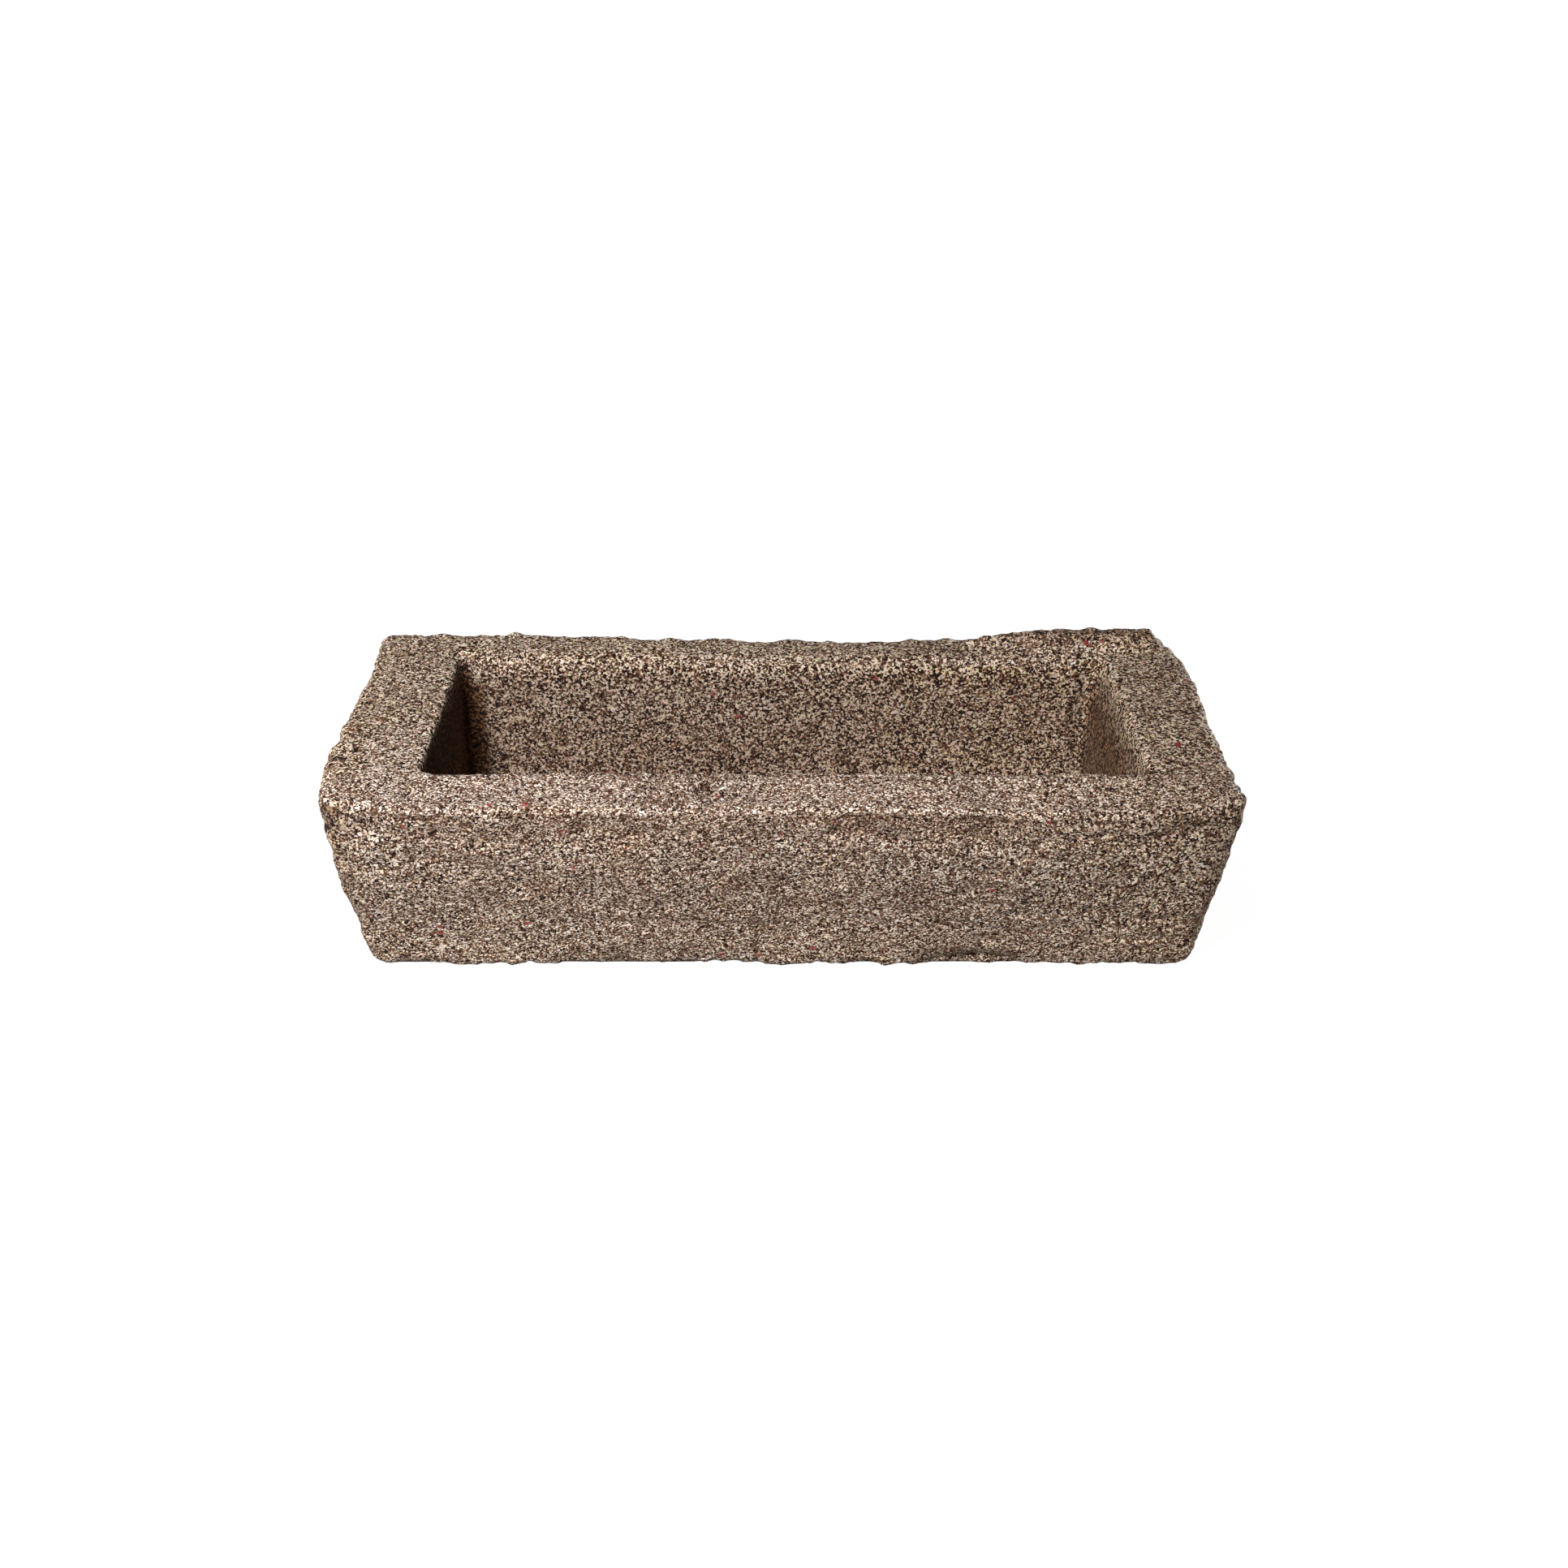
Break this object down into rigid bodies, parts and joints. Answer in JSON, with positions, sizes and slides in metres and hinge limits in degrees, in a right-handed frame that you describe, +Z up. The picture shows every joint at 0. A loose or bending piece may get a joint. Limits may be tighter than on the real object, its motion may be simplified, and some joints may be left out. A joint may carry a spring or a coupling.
{
  "type": "stone trough planter",
  "caption": "Long low rectangular trough planter hewn from speckled brown stone, with thick rough walls, a deep planting hollow and rubber drain bungs in its floor.",
  "frame": {"origin": "on the ground under the middle of the block", "axes": "+X to the right along the trough, +Y to the back, +Z up"},
  "size_m": [0.914, 0.406, 0.218],
  "materials": {
    "hewn_stone": "rough hewn, coarse speckled grain",
    "bung_rubber": "matt moulded"
  },
  "bodies": {
    "trough": {"trough_body": "hewn_stone"},
    "left_bung": {"drain_bung_left": "bung_rubber"},
    "right_bung": {"drain_bung_right": "bung_rubber"}
  },
  "joints": [
    {"name": "left_bung_pull", "type": "slide", "parent": "trough", "child": "left_bung", "axis": [0, 0, 1], "range_m": [0, 0.21]},
    {"name": "right_bung_pull", "type": "slide", "parent": "trough", "child": "right_bung", "axis": [0, 0, 1], "range_m": [0, 0.21]}
  ]
}
